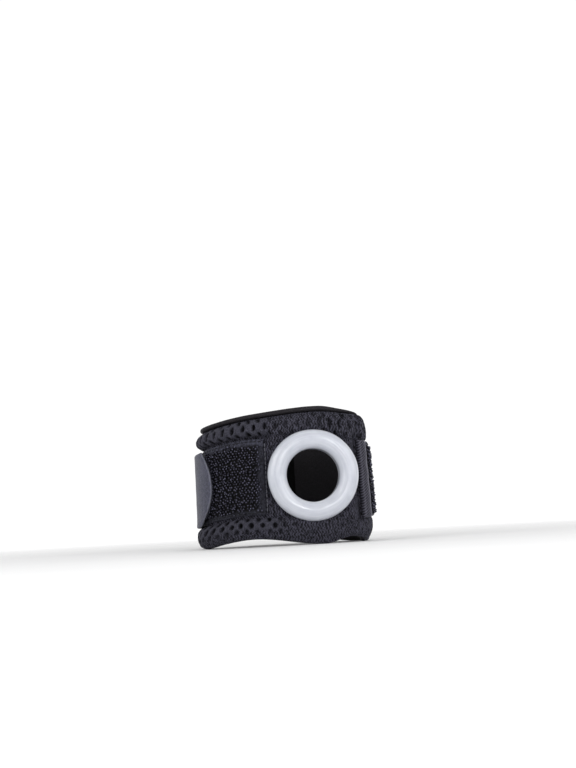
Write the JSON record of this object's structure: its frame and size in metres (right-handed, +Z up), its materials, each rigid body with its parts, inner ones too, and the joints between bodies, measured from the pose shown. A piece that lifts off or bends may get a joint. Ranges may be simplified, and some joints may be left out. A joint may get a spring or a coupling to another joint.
{
  "type": "wrist brace",
  "caption": "Padded mesh wrist brace fastened into a loop, with a soft ring in its front, a loop-pile panel and strap, and a hook tab that closes them.",
  "frame": {"origin": "under the middle of the brace's box, on the surface that it stands on", "axes": "+Z up along the wrist towards the hand, -Y out of the ring's face, +X to the right seen from the ring's side"},
  "size_m": [0.0692, 0.0549, 0.051],
  "materials": {
    "lining_cloth": "smooth matt knit",
    "mesh_cloth": "padded open mesh",
    "ring_silicone": "satin silicone",
    "pile_cloth": "loop pile",
    "woven_tape": "ribbed weave",
    "tab_cloth": "felted grey"
  },
  "bodies": {
    "root": {"lining": "lining_cloth", "mesh_band": "mesh_cloth", "ring": "ring_silicone", "loop_panel": "pile_cloth", "strap": "pile_cloth", "strap_binding": "woven_tape", "hook_tab": "tab_cloth"}
  },
  "joints": []
}
